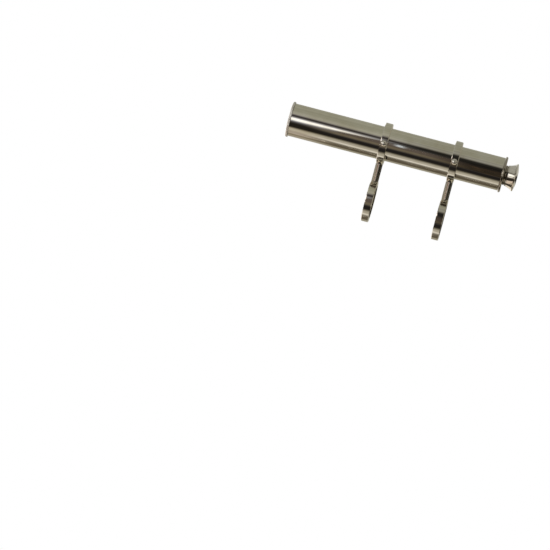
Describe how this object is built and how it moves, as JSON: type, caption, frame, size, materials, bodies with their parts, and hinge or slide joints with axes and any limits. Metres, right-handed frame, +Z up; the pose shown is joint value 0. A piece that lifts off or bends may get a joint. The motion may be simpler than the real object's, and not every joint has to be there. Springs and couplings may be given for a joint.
{
  "type": "finder scope",
  "caption": "Straight plated finder telescope held above a larger telescope's tube by ring-and-pillar brackets, with a flared sliding eyepiece and slotted lock screws.",
  "frame": {"origin": "on the axis of the lower rings, midway between the brackets", "axes": "+X along the tubes towards the eyepiece, +Z up from the larger telescope to the finder, +Y away from the side of the upper lock screws"},
  "size_m": [0.3131, 0.0606, 0.135],
  "materials": {
    "nickel_plate": "polished nickel plate on turned brass, slightly warm, with faint polishing marks",
    "plated_screw": "polished nickel plate on a turned steel screw",
    "screw_steel": "plain turned steel",
    "bare_brass": "unplated drawn brass",
    "blackened_brass": "matt black inside finish of optical tubes",
    "optical_glass": "polished uncoated optical glass",
    "cork": "fine-grained pressed cork"
  },
  "bodies": {
    "brackets": {"front_finder_ring": "nickel_plate", "rear_finder_ring": "nickel_plate", "front_telescope_ring": "nickel_plate", "rear_telescope_ring": "nickel_plate", "front_pillar": "nickel_plate", "rear_pillar": "nickel_plate", "pillar_studs": "screw_steel"},
    "barrel": {"main_tube": "nickel_plate", "objective_cell": "nickel_plate", "objective_crown": "optical_glass", "objective_flint": "optical_glass", "objective_retainer": "blackened_brass", "front_glare_stop": "blackened_brass", "rear_glare_stop": "blackened_brass", "rear_flange": "nickel_plate", "guide_sleeve": "bare_brass", "cork_liner": "cork"},
    "eyepiece": {"draw_tube": "nickel_plate", "eyecup": "nickel_plate", "erector_cell": "blackened_brass", "erector_front_lens": "optical_glass", "erector_spacer": "blackened_brass", "erector_rear_lens": "optical_glass", "erector_retainer": "blackened_brass", "eyepiece_cell": "blackened_brass", "field_lens": "optical_glass", "field_spacer": "blackened_brass", "field_stop": "blackened_brass", "eye_spacer": "blackened_brass", "eye_lens": "optical_glass"},
    "front_finder_lock": {"front_finder_screw": "plated_screw"},
    "rear_finder_lock": {"rear_finder_screw": "plated_screw"},
    "front_telescope_lock": {"front_telescope_screw": "plated_screw"},
    "rear_telescope_lock": {"rear_telescope_screw": "plated_screw"}
  },
  "joints": [
    {"name": "barrel_slide", "type": "slide", "parent": "brackets", "child": "barrel", "axis": [1, 0, 0], "range_m": [-0.058, 0.122]},
    {"name": "eyepiece_focus", "type": "slide", "parent": "barrel", "child": "eyepiece", "axis": [1, 0, 0], "range_m": [0, 0.02]},
    {"name": "front_finder_lock_turn", "type": "hinge", "parent": "brackets", "child": "front_finder_lock", "pos_m": [-0.0482, -0.028, 0.079], "axis": [0, -1, 0], "range_deg": [0, 450]},
    {"name": "rear_finder_lock_turn", "type": "hinge", "parent": "brackets", "child": "rear_finder_lock", "pos_m": [0.0482, -0.028, 0.079], "axis": [0, -1, 0], "range_deg": [0, 450]},
    {"name": "front_telescope_lock_turn", "type": "hinge", "parent": "brackets", "child": "front_telescope_lock", "pos_m": [-0.0482, 0.028, 0], "axis": [0, 1, 0], "range_deg": [0, 450]},
    {"name": "rear_telescope_lock_turn", "type": "hinge", "parent": "brackets", "child": "rear_telescope_lock", "pos_m": [0.0482, 0.028, 0], "axis": [0, 1, 0], "range_deg": [0, 450]}
  ]
}
